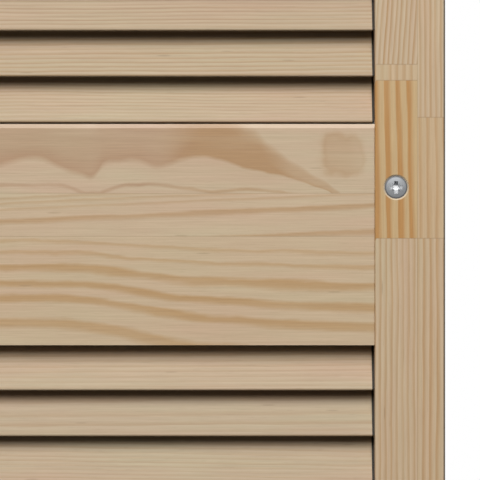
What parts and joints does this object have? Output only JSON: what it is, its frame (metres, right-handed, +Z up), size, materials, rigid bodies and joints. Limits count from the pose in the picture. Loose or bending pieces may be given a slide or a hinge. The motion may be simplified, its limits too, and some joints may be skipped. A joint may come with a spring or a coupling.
{
  "type": "pair of louvred cabinet doors",
  "caption": "Pair of louvred pine cabinet doors with slanted slats and broad middle rails, hung with butt hinges on a slim face frame that is dowelled to a carcass.",
  "frame": {"origin": "centre of the carcass dowel pattern, in the plane of the back of the face frame, at half the height of the doors", "axes": "+X to the right as seen from the front, +Y from the doors back into the cabinet, +Z up"},
  "size_m": [0.8044, 0.044, 0.615],
  "materials": {
    "frame_pine": "plain sanded pine",
    "stile_pine": "laminated finger-jointed pine, sanded",
    "rail_pine": "edge-glued pine, sanded",
    "slat_pine": "pale pine, sanded",
    "hinge_steel": "zinc-plated steel",
    "screw_steel": "zinc-plated steel",
    "bumper_rubber": "soft translucent grey"
  },
  "bodies": {
    "frame": {"frame_stile_left": "frame_pine", "frame_stile_right": "frame_pine", "frame_rail_top": "frame_pine", "frame_rail_bottom": "frame_pine", "frame_hinge_screws": "screw_steel", "frame_bumpers": "bumper_rubber", "hinge_left_lower_frame_leaf": "hinge_steel", "hinge_left_lower_pin": "hinge_steel", "hinge_left_upper_frame_leaf": "hinge_steel", "hinge_left_upper_pin": "hinge_steel", "hinge_right_lower_frame_leaf": "hinge_steel", "hinge_right_lower_pin": "hinge_steel", "hinge_right_upper_frame_leaf": "hinge_steel", "hinge_right_upper_pin": "hinge_steel"},
    "left_door": {"door_left_hinge_stile": "stile_pine", "door_left_meeting_stile": "stile_pine", "door_left_top_rail": "rail_pine", "door_left_mid_rail": "rail_pine", "door_left_bottom_rail": "rail_pine", "door_left_rail_screws": "screw_steel", "door_left_hinge_screws": "screw_steel", "door_left_lower_slat_1": "slat_pine", "door_left_lower_slat_2": "slat_pine", "door_left_lower_slat_3": "slat_pine", "door_left_lower_slat_4": "slat_pine", "door_left_lower_slat_5": "slat_pine", "door_left_lower_slat_6": "slat_pine", "door_left_lower_slat_7": "slat_pine", "door_left_upper_slat_1": "slat_pine", "door_left_upper_slat_2": "slat_pine", "door_left_upper_slat_3": "slat_pine", "door_left_upper_slat_4": "slat_pine", "door_left_upper_slat_5": "slat_pine", "door_left_upper_slat_6": "slat_pine", "door_left_upper_slat_7": "slat_pine", "hinge_left_lower_door_leaf": "hinge_steel", "hinge_left_upper_door_leaf": "hinge_steel"},
    "right_door": {"door_right_hinge_stile": "stile_pine", "door_right_meeting_stile": "stile_pine", "door_right_top_rail": "rail_pine", "door_right_mid_rail": "rail_pine", "door_right_bottom_rail": "rail_pine", "door_right_rail_screws": "screw_steel", "door_right_hinge_screws": "screw_steel", "door_right_lower_slat_1": "slat_pine", "door_right_lower_slat_2": "slat_pine", "door_right_lower_slat_3": "slat_pine", "door_right_lower_slat_4": "slat_pine", "door_right_lower_slat_5": "slat_pine", "door_right_lower_slat_6": "slat_pine", "door_right_lower_slat_7": "slat_pine", "door_right_upper_slat_1": "slat_pine", "door_right_upper_slat_2": "slat_pine", "door_right_upper_slat_3": "slat_pine", "door_right_upper_slat_4": "slat_pine", "door_right_upper_slat_5": "slat_pine", "door_right_upper_slat_6": "slat_pine", "door_right_upper_slat_7": "slat_pine", "hinge_right_lower_door_leaf": "hinge_steel", "hinge_right_upper_door_leaf": "hinge_steel"}
  },
  "joints": [
    {"name": "left_door_hinge", "type": "hinge", "parent": "frame", "child": "left_door", "pos_m": [-0.3991, -0.0215, 0], "axis": [0, 0, -1], "range_deg": [0, 180]},
    {"name": "right_door_hinge", "type": "hinge", "parent": "frame", "child": "right_door", "pos_m": [0.3991, -0.0215, 0], "axis": [0, 0, 1], "range_deg": [0, 180]}
  ]
}
